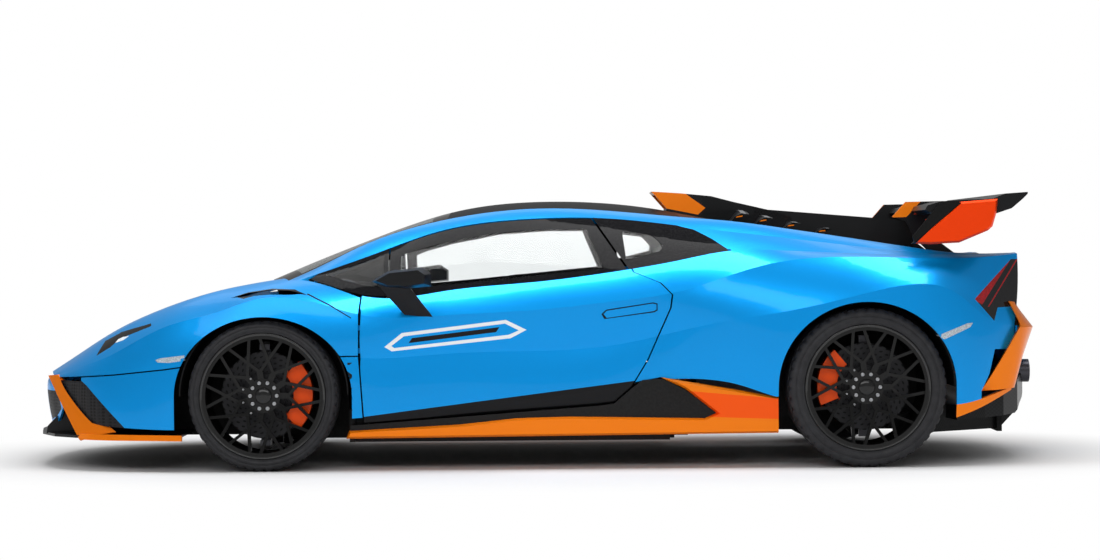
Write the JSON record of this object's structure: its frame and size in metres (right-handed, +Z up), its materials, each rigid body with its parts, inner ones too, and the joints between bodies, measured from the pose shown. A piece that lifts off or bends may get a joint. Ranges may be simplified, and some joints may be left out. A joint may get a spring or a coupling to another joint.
{
  "type": "mid-engined track supercar",
  "caption": "Low mid-engined two-seat supercar with blue body, orange accents, roof scoop, tall rear wing, opening doors and front lid.",
  "frame": {"origin": "on the floor, below the middle of the car's bounding box", "axes": "+X runs from nose to tail, so the car faces -X; +Y is the car's right; +Z is up"},
  "size_m": [4.547, 2.2368, 1.2168],
  "materials": {
    "paint_blue": "gloss",
    "paint_orange": "gloss",
    "black_gloss": "gloss",
    "black_satin": "satin",
    "glass_clear": "gloss",
    "lamp_front": "gloss",
    "lamp_rear": "gloss",
    "tyre": "matt",
    "wheel_black": "gloss",
    "disc_steel": "brushed",
    "caliper_orange": "gloss",
    "alloy_grey": "satin",
    "chassis_dark": "satin",
    "cabin_black": "matt"
  },
  "bodies": {
    "chassis": {"cabin_tub": "chassis_dark", "dashboard": "cabin_black", "diffuser": "black_gloss", "engine_block": "alloy_grey", "engine_cover": "black_gloss", "exhaust_tips": "alloy_grey", "front_blades": "paint_orange", "front_bumper": "paint_blue", "front_frame": "chassis_dark", "front_grilles": "black_satin", "front_valance": "paint_orange", "front_wings_lower": "paint_blue", "rear_blades": "paint_orange", "rear_bumper": "paint_blue", "rear_calipers": "caliper_orange", "rear_frame": "chassis_dark", "rear_grille": "black_satin", "rear_quarters": "paint_blue", "rear_uprights": "alloy_grey", "rear_wing": "black_gloss", "roof_frame": "paint_blue", "roof_panel": "black_gloss", "roof_scoop": "black_gloss", "seats": "cabin_black", "shark_fin": "black_gloss", "side_sills": "paint_orange", "side_windows": "glass_clear", "splitter": "black_gloss", "tail_lamps": "lamp_rear", "tail_panel": "black_gloss", "windscreen": "glass_clear", "wing_end_plates": "paint_orange", "wing_pylons": "black_gloss"},
    "front_lid": {"front_lid": "paint_blue", "headlamps": "lamp_front"},
    "door_left": {"door_left": "paint_blue", "door_glass_left": "glass_clear", "mirror_left": "black_gloss"},
    "door_right": {"door_right": "paint_blue", "door_glass_right": "glass_clear", "mirror_right": "black_gloss"},
    "steering_wheel": {"steering_wheel": "cabin_black"},
    "front_left_knuckle": {"front_upright_left": "alloy_grey", "front_caliper_left": "caliper_orange"},
    "front_left_wheel": {"tyre_front_left": "tyre", "rim_front_left": "wheel_black", "brake_disc_front_left": "disc_steel"},
    "rear_left_wheel": {"tyre_rear_left": "tyre", "rim_rear_left": "wheel_black", "brake_disc_rear_left": "disc_steel"},
    "front_right_knuckle": {"front_upright_right": "alloy_grey", "front_caliper_right": "caliper_orange"},
    "front_right_wheel": {"tyre_front_right": "tyre", "rim_front_right": "wheel_black", "brake_disc_front_right": "disc_steel"},
    "rear_right_wheel": {"tyre_rear_right": "tyre", "rim_rear_right": "wheel_black", "brake_disc_rear_right": "disc_steel"}
  },
  "joints": [
    {"name": "front_left_steer", "type": "hinge", "parent": "chassis", "child": "front_left_knuckle", "pos_m": [-1.1925, -0.816, 0.3275], "axis": [0, 0, 1], "range_deg": [-26, 26]},
    {"name": "front_left_spin", "type": "hinge", "parent": "front_left_knuckle", "child": "front_left_wheel", "pos_m": [-1.1925, -0.834, 0.3275], "axis": [0, 1, 0], "continuous": true},
    {"name": "rear_left_spin", "type": "hinge", "parent": "chassis", "child": "rear_left_wheel", "pos_m": [1.4275, -0.81, 0.3455], "axis": [0, 1, 0], "continuous": true},
    {"name": "door_left_hinge", "type": "hinge", "parent": "chassis", "child": "door_left", "pos_m": [-0.79504, -0.9125, 0.55], "axis": [0, 0, -1], "range_deg": [0, 60]},
    {"name": "front_right_steer", "type": "hinge", "parent": "chassis", "child": "front_right_knuckle", "pos_m": [-1.1925, 0.816, 0.3275], "axis": [0, 0, 1], "range_deg": [-26, 26]},
    {"name": "front_right_spin", "type": "hinge", "parent": "front_right_knuckle", "child": "front_right_wheel", "pos_m": [-1.1925, 0.834, 0.3275], "axis": [0, 1, 0], "continuous": true},
    {"name": "rear_right_spin", "type": "hinge", "parent": "chassis", "child": "rear_right_wheel", "pos_m": [1.4275, 0.81, 0.3455], "axis": [0, 1, 0], "continuous": true},
    {"name": "door_right_hinge", "type": "hinge", "parent": "chassis", "child": "door_right", "pos_m": [-0.79504, 0.9125, 0.55], "axis": [0, 0, 1], "range_deg": [0, 60]},
    {"name": "lid_hinge", "type": "hinge", "parent": "chassis", "child": "front_lid", "pos_m": [-2.212, 0, 0.369], "axis": [0, -1, 0], "range_deg": [0, 55]},
    {"name": "steering_wheel_turn", "type": "hinge", "parent": "chassis", "child": "steering_wheel", "pos_m": [-0.51154, -0.35983, 0.658], "axis": [0.9287, 0, 0.3709], "range_deg": [-360, 360]}
  ],
  "couplings": [
    {"joint": "front_right_steer", "follows": "front_left_steer", "ratio": 1},
    {"joint": "steering_wheel_turn", "follows": "front_left_steer", "ratio": 13.5}
  ]
}
